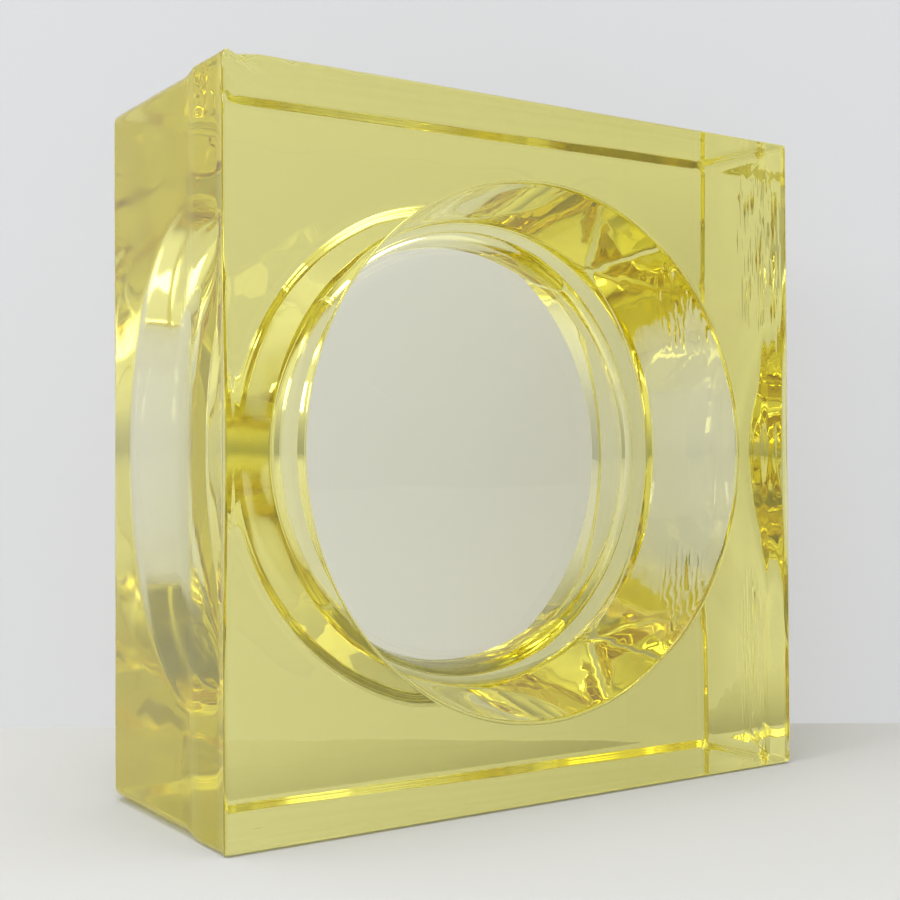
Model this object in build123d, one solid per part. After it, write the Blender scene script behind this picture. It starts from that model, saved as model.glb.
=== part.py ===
from build123d import *
import os

# Glass block standing on its lower side, front face towards -Y.
# The origin is the middle of the footprint on the floor, sizes in millimetres.

# Outer form
face_side = 193.7
block_depth = 76.2

# Sharp edged band behind the front face, and the step down to the rear body
band_depth = 17.0
band_corner_radius = 0.8
front_edge_bevel = 0.6
step_length = 13.0
side_inset = 1.2
top_inset = 0.25

# Rear body, which comes out of the mould with soft edges
body_corner_radius = 3.2
rear_edge_radius = 2.8

# Round recesses in the front and the back, with a web of clear glass between them
web_thickness = 11.0
face_margin = 22.65  # flat glass left between a recess and the side of the block
recess_draft_angle = 11.5
front_rim_bevel = 0.9
rear_rim_radius = 3.5
front_floor_radius = 4.0
rear_floor_radius = 11.0

# Places that follow from the sizes above
centre_height = face_side / 2
front_y = -block_depth / 2
rear_y = block_depth / 2
step_y = front_y + band_depth
body_y = step_y + step_length
body_width = face_side - 2 * side_inset
body_height = face_side - 2 * top_inset
mouth_radius = face_side / 2 - face_margin
recess_depth = (block_depth - web_thickness) / 2


def upright_plane(y):
    """Plane across the depth at y, centred on the face, looking to the back."""
    return Plane(origin=(0, y, centre_height), x_dir=(1, 0, 0), z_dir=(0, 1, 0))


def block_outline(y, width, height, corner_radius):
    """Outline with rounded corners, standing upright at depth y."""
    return upright_plane(y) * RectangleRounded(width, height, corner_radius)


def make_band():
    """Full size slab behind the front face, with a fine bevel round the face."""
    front_outline = block_outline(front_y, face_side, face_side, band_corner_radius)
    slab = extrude(front_outline, amount=band_depth)
    face_outline = slab.faces().sort_by(Axis.Y)[0].edges()
    return chamfer(face_outline, front_edge_bevel)


def make_step():
    """Slope that narrows the block from the band to the rear body."""
    wide_end = block_outline(step_y, face_side, face_side, band_corner_radius)
    narrow_end = block_outline(body_y, body_width, body_height, body_corner_radius)
    return loft([wide_end, narrow_end])


def make_rear_body():
    """Straight body with its rear edges rounded."""
    narrow_end = block_outline(body_y, body_width, body_height, body_corner_radius)
    body = extrude(narrow_end, amount=rear_y - body_y)
    rear_outline = body.faces().sort_by(Axis.Y)[-1].edges()
    return fillet(rear_outline, rear_edge_radius)


def make_recess_cutter(mouth_y, inward, floor_radius):
    """Drafted round plug, cut into the block from mouth_y along inward (+1 or -1)."""
    mouth = Plane(origin=(0, mouth_y, centre_height), x_dir=(1, 0, 0), z_dir=(0, inward, 0))
    plug = extrude(mouth * Circle(mouth_radius), amount=recess_depth, taper=recess_draft_angle)
    floor_outline = plug.faces().sort_by(Axis.Y)[-1 if inward > 0 else 0].edges()
    return fillet(floor_outline, floor_radius)


def find_rim(block, mouth_y):
    """The sharp edge where a recess opens in the flat face at mouth_y."""
    return [
        edge
        for edge in block.edges().filter_by(GeomType.CIRCLE)
        if abs(edge.center().Y - mouth_y) < 0.01 and abs(edge.radius - mouth_radius) < 0.01
    ]


def make_glass_block():
    """The whole casting: band, step and rear body, less the two recesses."""
    block = make_band() + make_step() + make_rear_body()
    block -= make_recess_cutter(front_y, 1, front_floor_radius)
    block -= make_recess_cutter(rear_y, -1, rear_floor_radius)
    block = chamfer(find_rim(block, front_y), front_rim_bevel)
    return fillet(find_rim(block, rear_y), rear_rim_radius)


os.makedirs("parts", exist_ok=True)
export_step(make_glass_block(), "parts/glass_block.step")
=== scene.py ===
import math
import bpy
import numpy as np
from mathutils import Matrix, Vector


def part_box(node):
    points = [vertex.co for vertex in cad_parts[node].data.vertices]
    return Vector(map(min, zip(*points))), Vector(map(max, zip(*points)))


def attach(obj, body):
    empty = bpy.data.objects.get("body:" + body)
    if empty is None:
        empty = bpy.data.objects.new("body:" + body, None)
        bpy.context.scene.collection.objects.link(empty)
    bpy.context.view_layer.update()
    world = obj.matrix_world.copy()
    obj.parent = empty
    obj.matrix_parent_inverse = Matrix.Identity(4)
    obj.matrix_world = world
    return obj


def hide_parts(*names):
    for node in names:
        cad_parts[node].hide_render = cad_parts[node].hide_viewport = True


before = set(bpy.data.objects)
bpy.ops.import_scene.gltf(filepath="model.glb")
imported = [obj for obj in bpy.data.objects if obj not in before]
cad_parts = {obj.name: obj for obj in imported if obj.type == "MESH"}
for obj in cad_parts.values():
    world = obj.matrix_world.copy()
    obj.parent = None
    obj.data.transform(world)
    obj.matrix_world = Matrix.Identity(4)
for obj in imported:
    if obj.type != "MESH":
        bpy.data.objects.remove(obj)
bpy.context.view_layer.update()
print("stage 1: frame loaded,", len(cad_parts), "node")

# the skin is worked out in millimetres: x across, y back from the front face, z up from the middle
lowCorner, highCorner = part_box("glass_block")
side = (highCorner[0] - lowCorner[0]) * 1000
depth = (highCorner[1] - lowCorner[1]) * 1000
middleZ = side / 2

block = {
    "columns": 332,            # points round the block
    "cornerCrowding": 0.74,    # how much closer the points stand near the corners
    "bandDepth": 17.5,         # sharp cornered band behind the front face
    "stepLength": 9.0,         # over which the corners open to those of the body
    # how far the sides stand in from the face's edge, against the distance from the front
    "insetPlaces": (0.9, 3.5, 18.0, 22.5, 73.4),
    "sideInsets": (0.0, 0.35, 0.4, 0.62, 1.25),
    "topInsets": (0.0, 0.12, 0.14, 0.22, 0.32),
    "insetBlur": 1.5,          # the insets are evened out over this much each way
    "bandCorner": 0.8,
    "bodyCorner": 3.2,
    "frontEdge": 0.9,
    "faceCrowding": 1.9,       # how much closer the front face's rows stand near its edge
    "rearEdge": 2.8,
    "frontMouth": 74.2,        # reach of a recess at the flat face, before its rim is rounded
    "rearMouth": 74.2,
    "frontDraft": 11.5,
    "rearDraft": 11.5,
    "frontDeep": 32.6,
    "rearDeep": 32.6,
    "frontRim": 1.3,
    "rearRim": 3.5,
    "frontFloorRound": 4.0,
    "rearFloorRound": 11.0,
}

# how many rows of points each stretch of the skin gets
rowCounts = {
    "recessFloor": 12,
    "floorArc": 12,
    "recessWall": 36,
    "rimArc": 13,
    "frontFace": 16,
    "frontEdge": 5,
    "band": 20,
    "strokes": 58,
    "body": 25,
    "rearEdge": 13,
    "rearFace": 10,
}


# angles round the block: even steps plus a sine of four times the angle, which crowds them at the corners
def turnWay(count, crowding):
    even = (np.arange(count) + 0.5) / count * 2 * np.pi
    return even + crowding / 4 * np.sin(4 * even)


# half of a cut through a recess: flat floor, arc, straight drafted wall, arc, up to the flat face
def recessLine(end):
    rim, floorRound, mouth, deep = [block[end + part] for part in ("Rim", "FloorRound", "Mouth", "Deep")]
    lean = math.radians(block[end + "Draft"])
    # the floor's arc touches the floor and the wall
    arcDeep = deep - floorRound
    arcReach = mouth - arcDeep * math.tan(lean) - floorRound / math.cos(lean)
    sweep = np.linspace(math.pi / 2, lean, rowCounts["floorArc"])
    floorArc = np.stack([arcReach + floorRound * np.cos(sweep), arcDeep + floorRound * np.sin(sweep)], 1)
    # the rim's arc touches the wall and the flat face
    rimReach = mouth - rim * math.tan(lean) + rim / math.cos(lean)
    sweep = np.linspace(math.pi + lean, 1.5 * math.pi, rowCounts["rimArc"])
    rimArc = np.stack([rimReach + rim * np.cos(sweep), rim + rim * np.sin(sweep)], 1)
    # rings of the floor enclose equal areas, from a small one round the pole
    floorReach = arcReach * np.sqrt(np.linspace(0.004, 0.998, rowCounts["recessFloor"]))
    floorFlat = np.stack([floorReach, np.full(len(floorReach), deep)], 1)
    share = np.linspace(0, 1, rowCounts["recessWall"] + 2)[1:-1, None]
    wall = floorArc[-1] + (rimArc[0] - floorArc[-1]) * share
    return np.concatenate([floorFlat, floorArc, wall, rimArc])


# distances of the side's rows from the front: closest together where the upright strokes are
def sideRows():
    firstGap, lastGap, strokesEnd = 0.35, 0.3, 27
    band, lastRow = block["bandDepth"], depth - block["rearEdge"] - lastGap
    return np.concatenate([
        np.linspace(block["frontEdge"] + firstGap, band - 0.4, rowCounts["band"]),
        np.linspace(band, band + strokesEnd, rowCounts["strokes"]),
        np.linspace(band + strokesEnd + 1, lastRow, rowCounts["body"]),
    ])


# rows of the skin, each one (circle reach, half width, half height, corner, squareness, y from the front)
def skinRows():
    half = side / 2
    edge, rearRound = block["frontEdge"], block["rearEdge"]
    front, rear = recessLine("front"), recessLine("rear")
    rows = []

    def add(*values):
        parts = [np.atleast_1d(np.asarray(value, float)) for value in values]
        rows.append(np.stack(np.broadcast_arrays(*parts), 1))

    add(front[:, 0], half, half, 1, 0, front[:, 1])
    # flat front face, rows closest to each other near the edge
    share = 1 - (1 - np.linspace(0, 1, rowCounts["frontFace"] + 1)[1:]) ** block["faceCrowding"]
    add(front[-1, 0], half - edge, half - edge, block["bandCorner"], share, 0)
    # rounded front edge: a quarter of a circle
    sweep = np.linspace(0, np.pi / 2, rowCounts["frontEdge"] + 1)[1:]
    reach = half - edge + edge * np.sin(sweep)
    add(1, reach, reach, block["bandCorner"], 1, edge - edge * np.cos(sweep))
    # sides: the insets are read from their list and evened out, and the corner opens behind the band
    y = sideRows()
    blur = np.linspace(-block["insetBlur"], block["insetBlur"], 13)
    places = np.maximum(y[:, None] + blur, edge)
    inX = np.interp(places, block["insetPlaces"], block["sideInsets"]).mean(1)
    inZ = np.interp(places, block["insetPlaces"], block["topInsets"]).mean(1)
    t = np.clip((y - block["bandDepth"]) / block["stepLength"], 0, 1)
    corner = block["bandCorner"] + (block["bodyCorner"] - block["bandCorner"]) * (t * t * (3 - 2 * t))
    add(1, half - inX, half - inZ, corner, 1, y)
    wide, tall = half - inX[-1], half - inZ[-1]
    # rounded rear edge: a quarter of a circle
    sweep = np.linspace(0, np.pi / 2, rowCounts["rearEdge"])
    drawn = rearRound - rearRound * np.cos(sweep)
    rearY = depth - rearRound + rearRound * np.sin(sweep)
    add(1, wide - drawn, tall - drawn, block["bodyCorner"] - drawn, 1, rearY)
    # flat rear face
    share = np.linspace(1, 0, rowCounts["rearFace"] + 2)[1:-1]
    add(rear[-1, 0], wide - rearRound, tall - rearRound, block["bodyCorner"] - rearRound, share, depth)
    rear = rear[::-1]
    add(rear[:, 0], half, half, 1, 0, depth - rear[:, 1])
    return np.concatenate(rows)


# place on a rounded rectangle: the ray at an angle meets the straight side, or the corner's circle
def squareWay(turn, wide, tall, corner):
    c, s = np.abs(np.cos(turn)), np.abs(np.sin(turn))
    reach = np.minimum(wide / np.maximum(c, 1e-9), tall / np.maximum(s, 1e-9))
    centreX, centreZ = wide - corner, tall - corner
    inCorner = (reach * c > centreX) & (reach * s > centreZ)
    b = c * centreX + s * centreZ
    onArc = b + np.sqrt(np.maximum(b * b - centreX ** 2 - centreZ ** 2 + corner ** 2, 0))
    reach = np.where(inCorner, onArc, reach)
    return reach * np.cos(turn), reach * np.sin(turn)


# grid of places: squareness blends a circle into a rounded square, y comes from the row
def skinGrid(rows, turn):
    circle, wide, tall, corner, share, y = [rows[:, i, None] for i in range(6)]
    squareX, squareZ = squareWay(turn[None], wide, tall, corner)
    x = (1 - share) * circle * np.cos(turn) + share * squareX
    z = (1 - share) * circle * np.sin(turn) + share * squareZ
    return np.stack([x, np.broadcast_to(y, x.shape), z], 2)


# normals: cross product of the steps along a row and across the rows, turned away from the glass
def gridNormals(grid):
    along = np.roll(grid, -1, 1) - np.roll(grid, 1, 1)
    across = np.gradient(grid, axis=0)
    out = np.cross(across, along)
    out = out / np.maximum(np.linalg.norm(out, axis=2, keepdims=True), 1e-9)
    middle = len(grid) // 2
    return out if (out[middle] * grid[middle])[:, [0, 2]].sum() >= 0 else -out


# smooth random relief: a sum of sine waves in seeded directions, each as long as the range allows
def sineRelief(points, seed, shortest, longest, stretch=(1, 1, 1)):
    count = 26
    rng = np.random.default_rng(seed)
    way = rng.normal(size=(count, 3))
    way = way / np.linalg.norm(way, axis=1, keepdims=True) * np.array(stretch)
    length = np.exp(rng.uniform(math.log(shortest), math.log(longest), count))
    phase = rng.uniform(0, 2 * np.pi, count)
    sines = np.sin(points @ (way / length[:, None]).T * 2 * np.pi + phase)
    return sines.sum(-1) / math.sqrt(count / 2)


# one between low and high and nought outside them, with soft ends
def smoothBand(v, low, high, soft):
    up = np.clip((v - low) / soft + 0.5, 0, 1)
    down = np.clip((high - v) / soft + 0.5, 0, 1)
    return up * up * (3 - 2 * up) * down * down * (3 - 2 * down)


# heights of the relief
relief = {
    "castWaves": 0.035,        # slow waves left on the body by the mould
    "bandWaves": 0.02,         # the band keeps its height, and sinks in places only
    "strokes": 0.05,           # short upright strokes on the left and right sides
    "wallWaves": 0.012,        # slow waves of the recess walls and floors
    "floorWaves": 0.004,
    "floorReach": 64,
    "wallMottle": 0.016,       # small uneven places in the recess walls, at upper and lower right
    "mottleAngles": (22, 78),  # degrees from the level, upwards and downwards
    "mottleFade": 14,
    "markReach": 70,           # circle on which the marks' lengths are measured
    "rearWaves": 0.05,         # the rear face sinks a little between its edge and the rim
    "edgeRoll": 0.45,          # how far the left margin of the front face falls away
    "rollWidth": 3.4,
    "rollTall": 42,            # above and below the middle height
    "rollFade": 30,
}

# seed, shortest and longest wave, and how much shorter the waves get along x, y and z
waves = {
    "cast": (3, 16, 70),
    "band": (8, 14, 60, (1, 1.6, 1)),
    "wander": (11, 40, 110, (0.2, 0.15, 1)),
    "pieces": (12, 5, 24, (0.3, 2.6, 0.8)),
    "wall": (17, 12, 55, (1, 0.7, 1)),
    "mottle": (29, 3.6, 9),
    "floor": (19, 25, 80),
    "rear": (23, 18, 70),
}

strokes = {
    "wander": 0.5,             # how far a stroke strays from upright
    "lengths": (2.3, 1.7),     # from stroke to stroke, of the two sets
    "secondShare": 0.9,
    "crest": 1.7,              # sum of the two sets that stays at the side's own height
    "everywhere": 0.1,         # share of a stroke left between the pieces, and more of it low down
    "lowDown": 0.3,
    "pieceContrast": 1.2,
    "fade": 4,
    "strongFade": 6,
    "rightPlaces": (20, 60),   # distances from the front, on the right side
    "strongPlaces": (10, 41),
    "leftPlaces": (17, 28),
    "weakShare": 0.15,
    "leftShare": 0.25,
    "clearMiddle": 36,         # no strokes this near the middle height, on the right side
    "clearFade": 10,
}

# chips and nicks: x, y and z of the middle, its reach, how deep, and the way it is pushed in
chips = [
    # along the top edge of the front face
    (-92.4, 0.0, 193.7, 2.6, 0.9, (0, 0.6, -0.8)),
    (-89.6, 0.3, 193.7, 1.5, 0.5, (0, 0.4, -0.9)),
    (-77.6, 0.0, 193.7, 1.3, 0.5, (0, 0.5, -0.8)),
    (-71.4, 0.0, 193.7, 1.2, 0.45, (0, 0.5, -0.8)),
    (-60.2, 0.0, 193.7, 0.9, 0.25, (0, 0.5, -0.8)),
    # along its left edge
    (-96.85, 0.0, 183.5, 1.6, 0.6, (0.7, 0.7, 0)),
    (-96.85, 0.0, 192.8, 1.8, 0.8, (0.5, 0.6, -0.6)),
    (-96.85, 0.2, 139.4, 1.2, 0.4, (0.7, 0.7, 0)),
    (-96.85, 0.2, 54.0, 1.2, 0.4, (0.7, 0.7, 0)),
    # lower right corner
    (96.85, 0.0, 5.5, 1.6, 0.5, (-0.7, 0.6, 0)),
    # specks in the front face
    (79.4, 0.0, 183.6, 0.9, 0.25, (0, 1, 0)),
    (83.8, 0.0, 186.5, 0.8, 0.25, (0, 1, 0)),
    (79.7, 0.0, 9.2, 0.9, 0.3, (0, 1, 0)),
    (81.8, 0.0, 7.8, 0.9, 0.3, (0, 1, 0)),
    (84.1, 0.0, 14.0, 0.8, 0.25, (0, 1, 0)),
    (55.5, 0.0, 12.2, 0.8, 0.2, (0, 1, 0)),
    (-94.5, 0.0, 153.5, 0.8, 0.2, (0, 1, 0)),
    # soft hollows and nicks in the right side
    (96.85, 14.5, 172.0, 7.0, 0.45, (-1, 0, 0)),
    (96.85, 15.5, 160.0, 7.5, 0.55, (-1, 0, 0)),
    (96.85, 14.0, 148.0, 7.0, 0.45, (-1, 0, 0)),
    (96.85, 30.0, 178.5, 2.2, 0.5, (-1, 0, 0)),
    (96.85, 36.5, 176.0, 1.8, 0.4, (-1, 0, 0)),
    (96.85, 30.5, 52.5, 2.6, 0.5, (-1, 0, 0)),
    (96.85, 31.5, 46.0, 2.0, 0.4, (-1, 0, 0)),
]

# marks in the front recess wall: angle in degrees, distance from the front, length round and inwards,
# height, tilt
wallMarks = [
    (55.0, 21.8, 9.0, 3.0, 0.10, 0.5),
    (-56.9, 19.6, 9.0, 3.0, 0.10, -0.5),
    (35.0, 27.3, 12.0, 4.5, -0.14, 0.3),
    (-44.9, 22.8, 13.0, 4.5, -0.14, -0.3),
    (48.3, 21.0, 2.5, 1.6, 0.06, 0.0),
    (66.1, 18.6, 7.0, 2.4, 0.08, 0.7),
    (-67.0, 18.6, 8.0, 2.2, 0.09, -0.7),
    (-71.3, 28.3, 7.0, 2.0, 0.07, 0.2),
    (0.9, 29.1, 10.0, 4.0, 0.05, 0.0),
]


# upright strokes: two sets of sines of y that wander with z, cut into short pieces by another relief
def strokeField(grid):
    x, y, z = grid[..., 0], grid[..., 1], grid[..., 2]
    first, second = strokes["lengths"]
    wander = sineRelief(grid, *waves["wander"]) * strokes["wander"]
    sines = np.sin((y + wander) * 2 * np.pi / first)
    sines = sines + strokes["secondShare"] * np.sin((y - 0.6 * wander) * 2 * np.pi / second + 1.0)
    base = strokes["everywhere"] + strokes["lowDown"] * (z < 0)
    pieces = np.clip(base + strokes["pieceContrast"] * sineRelief(grid, *waves["pieces"]), 0, 1)
    far = np.clip((np.abs(z) - strokes["clearMiddle"]) / strokes["clearFade"], 0, 1)
    weak, fade = strokes["weakShare"], strokes["fade"]
    strong = weak + (1 - weak) * smoothBand(y, *strokes["strongPlaces"], strokes["strongFade"])
    right = smoothBand(y, *strokes["rightPlaces"], fade) * strong * far * (x > 0)
    left = strokes["leftShare"] * smoothBand(y, *strokes["leftPlaces"], fade) * (x < 0)
    return pieces * (right + left) * (sines - strokes["crest"]) / strokes["crest"]


# marks in the wall: bell shaped humps, long one way and narrow the other, turned by their tilt
def markField(turn, y):
    field = np.zeros_like(turn)
    for angle, deep, long, wide, high, tilt in wallMarks:
        aside = (turn - math.radians(angle) + np.pi) % (2 * np.pi) - np.pi
        u, v = aside * relief["markReach"], y - deep
        c, s = math.cos(tilt), math.sin(tilt)
        field += high * np.exp(-((c * u + s * v) / long) ** 2 - ((c * v - s * u) / wide) ** 2)
    return field


# relief over the whole grid, outwards positive: waves weighted by bands of y, of side and of reach
def reliefField(grid, rows):
    x, y, z = grid[..., 0], grid[..., 1], grid[..., 2]
    share = rows[:, 4, None]
    onCircle = (share == 0) * 1.0
    onSide = (share == 1) * np.ones_like(x)
    band = block["bandDepth"]
    # the four outer sides: the body's waves go on past the rear edge, and the band's past its own end
    body = onSide * smoothBand(y, band, depth + 9, 8)
    field = -relief["castWaves"] * body * (1 + sineRelief(grid, *waves["cast"]))
    bandPart = onSide * smoothBand(y, 1.5, band + 4, 6)
    field -= relief["bandWaves"] * bandPart * (1 + sineRelief(grid, *waves["band"]))
    flank = (np.abs(x) > np.abs(z)) * onSide
    field += relief["strokes"] * flank * strokeField(grid)
    # recess walls and floors
    reach, turn = np.hypot(x, z), np.arctan2(z, x)
    wall = onCircle * smoothBand(reach, block["frontMouth"] - 8, block["frontMouth"] + 2, 3)
    slanted = smoothBand(np.abs(np.degrees(turn)), *relief["mottleAngles"], relief["mottleFade"])
    field += relief["wallWaves"] * wall * sineRelief(grid, *waves["wall"])
    field += relief["wallMottle"] * wall * slanted * sineRelief(grid, *waves["mottle"])
    field += wall * (y < depth / 2) * markField(turn, y)
    floor = onCircle * (reach < relief["floorReach"])
    field += relief["floorWaves"] * floor * sineRelief(grid, *waves["floor"])
    # rear face
    rearFlat = (share > 0) * (share < 1) * (y > depth / 2)
    field -= relief["rearWaves"] * rearFlat * (1 + sineRelief(grid, *waves["rear"]))
    return field


# chips: every place inside a chip's reach is pushed in by its depth times one less the squared distance,
# and a relief seeded by the chip's own place makes its outline uneven
def chipShift(grid):
    shift = np.zeros_like(grid)
    for x, y, z, reach, deep, way in chips:
        offset = grid - np.array([x, y, z - middleZ])
        wobble = 1 + 0.25 * sineRelief(grid, int(abs(x) * 10 + z), 0.9, 3)
        far = np.linalg.norm(offset, axis=2) / reach * wobble
        push = deep * np.maximum(0, 1 - far * far)
        shift += push[..., None] * (np.array(way) / np.linalg.norm(way))
    return shift


# the left margin of the front face falls back towards the edge, by a power of the nearness to it
def edgeRoll(grid):
    x, y, z = grid[..., 0], grid[..., 1], grid[..., 2]
    wide, tall = relief["rollWidth"], relief["rollTall"]
    near = np.clip((-x - (side / 2 - wide)) / wide, 0, 1)
    along = smoothBand(z, -tall, tall, relief["rollFade"]) * (0.75 + 0.25 * np.cos(z * 0.09))
    flat = (y < 1.2) & (x < 0)
    return relief["edgeRoll"] * near ** 1.5 * along * flat


# faces of the grid: four-sided between the rows, and fans of triangles at both poles
def skinFaces(count, columns):
    i = np.arange(count - 1)[:, None] * columns
    j = np.arange(columns)[None]
    k = (j + 1) % columns
    quads = np.stack([i + j, i + k, i + columns + k, i + columns + j], -1).reshape(-1, 4)
    pole, last = np.full(columns, count * columns), (count - 1) * columns
    frontFan = np.stack([pole, k[0], j[0]], 1)
    rearFan = np.stack([pole + 1, last + j[0], last + k[0]], 1)
    return quads.tolist() + frontFan.tolist() + rearFan.tolist()


def makeBlock():
    rows = skinRows()
    grid = skinGrid(rows, turnWay(block["columns"], block["cornerCrowding"]))
    grid = grid + gridNormals(grid) * reliefField(grid, rows)[..., None]
    grid[..., 1] += edgeRoll(grid)
    grid = grid + chipShift(grid)
    # nothing stands out of the block's own box
    half = side / 2
    grid = np.clip(grid, [-half, 0, -half], [half, depth, half])
    poles = [[0, grid[end, :, 1].mean(), 0] for end in (0, -1)]
    points = np.concatenate([grid.reshape(-1, 3), poles]) + [0, -depth / 2, middleZ]
    mesh = bpy.data.meshes.new("glass_block_skin")
    mesh.from_pydata((points / 1000).tolist(), [], skinFaces(*grid.shape[:2]))
    mesh.update()
    # the volume is negative where the faces point inwards
    volume = sum(p.area * p.center.dot(p.normal) for p in mesh.polygons) / 3
    if volume < 0:
        mesh.flip_normals()
    mesh.polygons.foreach_set("use_smooth", np.ones(len(mesh.polygons), bool))
    mesh.update()
    print("stage 2: block skin,", len(mesh.polygons), "faces, volume", round(abs(volume) * 1e6, 1), "cm3")
    return mesh


blockMesh = makeBlock()
blockPiece = bpy.data.objects.new("glass_block_skin", blockMesh)
bpy.context.collection.objects.link(blockPiece)


# one number socket with the operators that are used, each one adds a Math node
class Value:
    def __init__(self, shader, socket):
        self.shader = shader
        self.socket = socket

    def math(self, operation, *others):
        return self.shader.math(operation, self, *others)

    def __add__(self, other):
        return self.math("ADD", other)

    def __mul__(self, other):
        return self.math("MULTIPLY", other)

    def __sub__(self, other):
        return self.math("SUBTRACT", other)

    def __rsub__(self, other):
        return self.shader.math("SUBTRACT", other, self)

    __radd__ = __add__
    __rmul__ = __mul__

    # nought below low, one above high, with a soft rise between them
    def over(self, low, high):
        sockets = {"Value": self, "From Min": low, "From Max": high}
        return self.shader.node("ShaderNodeMapRange", {"interpolation_type": "SMOOTHSTEP"}, sockets)


# the nodes of a material or of the world
class Shader:
    def __init__(self, owner):
        owner.use_nodes = True
        self.owner = owner
        self.tree = owner.node_tree
        self.tree.nodes.clear()

    # any node: settings first, then numbers or links on its sockets, and one output comes back
    def node(self, kind, settings=None, sockets=None, output=0):
        made = self.tree.nodes.new(kind)
        for key, value in (settings or {}).items():
            setattr(made, key, value)
        for key, value in (sockets or {}).items():
            if isinstance(value, Value):
                self.tree.links.new(value.socket, made.inputs[key])
            else:
                made.inputs[key].default_value = value
        return Value(self, made.outputs[output])

    def math(self, operation, *values):
        return self.node("ShaderNodeMath", {"operation": operation}, dict(enumerate(values)))

    def mix(self, share, first, second):
        return self.node("ShaderNodeMixShader", {}, {"Fac": share, 1: first, 2: second})

    def finish(self, surface, volume=None):
        inWorld = isinstance(self.owner, bpy.types.World)
        out = self.tree.nodes.new("ShaderNodeOutputWorld" if inWorld else "ShaderNodeOutputMaterial")
        self.tree.links.new(surface.socket, out.inputs["Surface"])
        if volume is not None:
            self.tree.links.new(volume.socket, out.inputs["Volume"])
        return self.owner


glass = {
    "ior": 1.6,
    "absorbColour": (0.942, 0.907, 0.13, 1.0),
    "absorbDensity": 16.6,
    "bumpHeight": 0.00012,
    "bumpStrength": 0.5,
    "patchScale": 46.0,        # unevenness left by the mould, highest on the left and right sides
    "patchRoughness": 0.05,    # dull patches on the right side, top and bottom
    "sideRoughness": 0.15,     # the soft left side
    "dullNoise": (0.52, 0.68),     # noise values between which a patch rises
    "softNoise": (0.35, 0.6),
    # in metres: how far inside the left and right sides, and inside the top and bottom, their masks rise
    "flankInside": (0.0030, 0.0018),
    "crownInside": (0.0016, 0.0008),
    "behindFront": (0.0165, 0.021),
    "leftOfMiddle": (-0.01, 0.01),
}


def makeGlass():
    s = Shader(bpy.data.materials.new("yellow_cast_glass"))
    place = s.node("ShaderNodeTexCoord", output=3)
    x, y, z = [s.node("ShaderNodeSeparateXYZ", {}, {"Vector": place}, i) for i in range(3)]
    half, front = side / 2000, -depth / 2000
    # masks of the left and right sides behind the band, and of the top and bottom
    flank = x.math("ABSOLUTE").over(*[half - inside for inside in glass["flankInside"]])
    crown = (z - half).math("ABSOLUTE").over(*[half - inside for inside in glass["crownInside"]])
    behind = y.over(*[front + away for away in glass["behindFront"]])
    leftSide = 1 - x.over(*glass["leftOfMiddle"])
    patches = s.node("ShaderNodeTexNoise", {}, {"Vector": place, "Scale": glass["patchScale"], "Detail": 0.0})
    height = patches * (flank * 1.5 + 0.5)
    bump = s.node("ShaderNodeBump", {}, {
        "Strength": glass["bumpStrength"], "Distance": glass["bumpHeight"], "Height": height})
    dull = (flank * behind * (1 - leftSide) + crown * 0.5) * patches.over(*glass["dullNoise"])
    soft = flank * behind * leftSide * (patches.over(*glass["softNoise"]) * 0.5 + 0.5)
    rough = dull * glass["patchRoughness"] + soft * glass["sideRoughness"]
    surface = s.node("ShaderNodeBsdfPrincipled", {}, {
        "Base Color": (1.0, 1.0, 1.0, 1.0), "Roughness": rough, "IOR": glass["ior"],
        "Transmission Weight": 1.0, "Normal": bump})
    volume = s.node("ShaderNodeVolumeAbsorption", {}, {
        "Color": glass["absorbColour"], "Density": glass["absorbDensity"]})
    return s.finish(surface, volume)


blockMesh.materials.append(makeGlass())
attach(blockPiece, "root")
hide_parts("glass_block")
print("stage 3: glass finish")

# the floor and the backdrop, in metres
stage = {
    "floorColour": (0.635, 0.63, 0.612, 1.0),
    "wallColour": (0.81, 0.815, 0.83, 1.0),
    "glowColour": (0.72, 0.725, 0.74, 1.0),
    "glowShare": 0.55,         # share of the backdrop's paleness that is its own
    "floorDrop": 0.0004,       # a hair below the block's foot
    "floorReach": 6.0,
    "wallAway": 0.0925,        # how far behind the block's middle the backdrop stands
    "wallTurn": (0.5604, 0.8282),  # x and y of the way it faces away, square to the camera
    "wallReach": 0.9,          # from its middle to each end
    "wallTall": 1.1,
}


def makeSheet(name, corners, surface, shader):
    mesh = bpy.data.meshes.new(name)
    mesh.from_pydata(corners, [], [(0, 1, 2, 3)])
    sheet = bpy.data.objects.new(name, mesh)
    bpy.context.collection.objects.link(sheet)
    mesh.materials.append(shader.finish(surface))


def makeFloor():
    s = Shader(bpy.data.materials.new("studio_floor"))
    surface = s.node("ShaderNodeBsdfDiffuse", {}, {"Color": stage["floorColour"]})
    reach, drop = stage["floorReach"], -stage["floorDrop"]
    corners = [(-reach, -reach, drop), (reach, -reach, drop), (reach, reach, drop), (-reach, reach, drop)]
    makeSheet("studio_floor", corners, surface, s)


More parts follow.
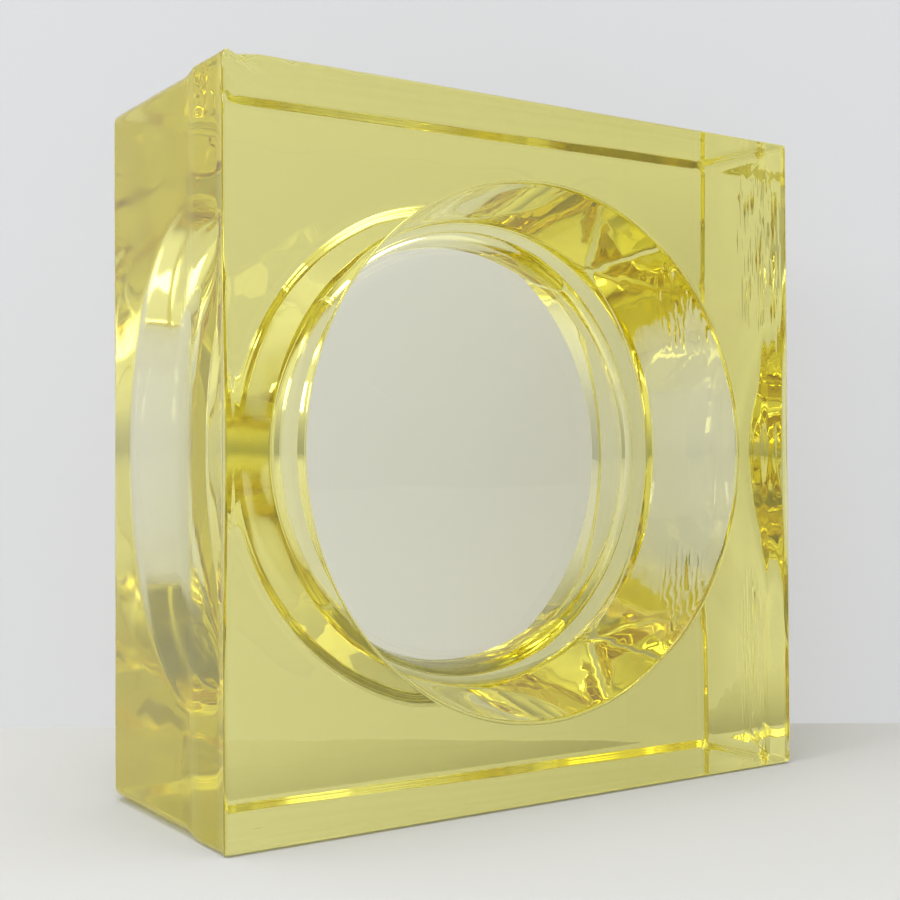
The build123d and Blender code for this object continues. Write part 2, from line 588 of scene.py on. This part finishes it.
# the backdrop faces the block, and its back lets light through, so the views from behind it are open
def makeWall():
    s = Shader(bpy.data.materials.new("studio_wall"))
    surface = s.node("ShaderNodeBsdfDiffuse", {}, {"Color": stage["wallColour"]})
    # part of its paleness is its own, so the block doesn't darken it
    cameraRay, glossyRay, transmissionRay = [s.node("ShaderNodeLightPath", output=i) for i in (0, 3, 6)]
    seen = (cameraRay + glossyRay + transmissionRay).math("MINIMUM", 1.0)
    glow = s.node("ShaderNodeEmission", {}, {"Color": stage["glowColour"], "Strength": 1.0})
    surface = s.mix(seen * stage["glowShare"], surface, glow)
    fromBehind = s.node("ShaderNodeNewGeometry", output=6)
    surface = s.mix(fromBehind, surface, s.node("ShaderNodeBsdfTransparent"))
    back = Vector((*stage["wallTurn"], 0)).normalized()
    along = Vector((back.y, -back.x, 0)) * stage["wallReach"]
    foot = back * stage["wallAway"] + Vector((0, 0, -stage["floorDrop"]))
    top = Vector((0, 0, stage["wallTall"]))
    corners = [foot - along, foot + along, foot + along + top, foot - along + top]
    makeSheet("studio_wall", corners, surface, s)


lights = {
    "roomColour": (0.97, 0.98, 1.0, 1.0),
    "roomStrength": (0.42, 1.0),   # near the horizon and overhead
    "overheadFrom": 0.7,           # sine of the height where the room is at its palest
    # name: place, what it looks at, width, height, power
    "lamps": {
        "top_soft": ((-0.3, -0.2, 1.5), (0, 0, 0.1), 1.0, 1.0, 9.5),
        "left_window": ((-1.4, -0.1, 0.95), (0, 0, 0.1), 0.5, 0.5, 4.0),
    },
}


def makeRoom():
    world = bpy.data.worlds.new("studio")
    s = Shader(world)
    rise = s.node("ShaderNodeSeparateXYZ", {}, {"Vector": s.node("ShaderNodeTexCoord")}, 2)
    low, high = lights["roomStrength"]
    strength = rise.over(0.0, lights["overheadFrom"]) * (high - low) + low
    s.finish(s.node("ShaderNodeBackground", {}, {"Color": lights["roomColour"], "Strength": strength}))
    bpy.context.scene.world = world


def makeLamps():
    for name, (place, aim, wide, tall, power) in lights["lamps"].items():
        lamp = bpy.data.lights.new(name, "AREA")
        lamp.shape = "RECTANGLE"
        lamp.size, lamp.size_y, lamp.energy = wide, tall, power
        piece = bpy.data.objects.new(name, lamp)
        bpy.context.collection.objects.link(piece)
        piece.location = place
        piece.rotation_euler = (Vector(aim) - Vector(place)).to_track_quat("-Z", "Y").to_euler()


# place, ways and lens that bring the block's edges where the photo has them
camera = {
    "place": (-0.24521, -0.35374, 0.09217),
    "right": (0.82822, -0.560381, -0.004964),
    "up": (-0.003295, -0.013727, 0.9999),
    "back": (-0.560394, -0.828121, -0.013215),
    "lens": 57.70148,
    "sensor": 36,
}


# the camera's matrix has its right, up and back ways and its place as columns
def makeCamera():
    data = bpy.data.cameras.new("camera")
    data.lens = camera["lens"]
    data.sensor_width = camera["sensor"]
    data.clip_start = 0.01
    piece = bpy.data.objects.new("camera", data)
    bpy.context.collection.objects.link(piece)
    columns = [(*camera[way], 0) for way in ("right", "up", "back")] + [(*camera["place"], 1)]
    piece.matrix_world = Matrix(columns).transposed()
    bpy.context.scene.camera = piece


makeFloor()
makeWall()
makeRoom()
makeLamps()
makeCamera()
scene = bpy.context.scene
scene.view_settings.view_transform = "Standard"
# light crosses the block many times, and with few bounces its deep corners turn black
scene.cycles.max_bounces = 48
scene.cycles.transmission_bounces = 48
scene.cycles.glossy_bounces = 48
scene.cycles.transparent_max_bounces = 24
# two lamps need no light tree, and the render is quicker without it
scene.cycles.use_light_tree = False
print("stage 4: floor, backdrop, lights and camera")
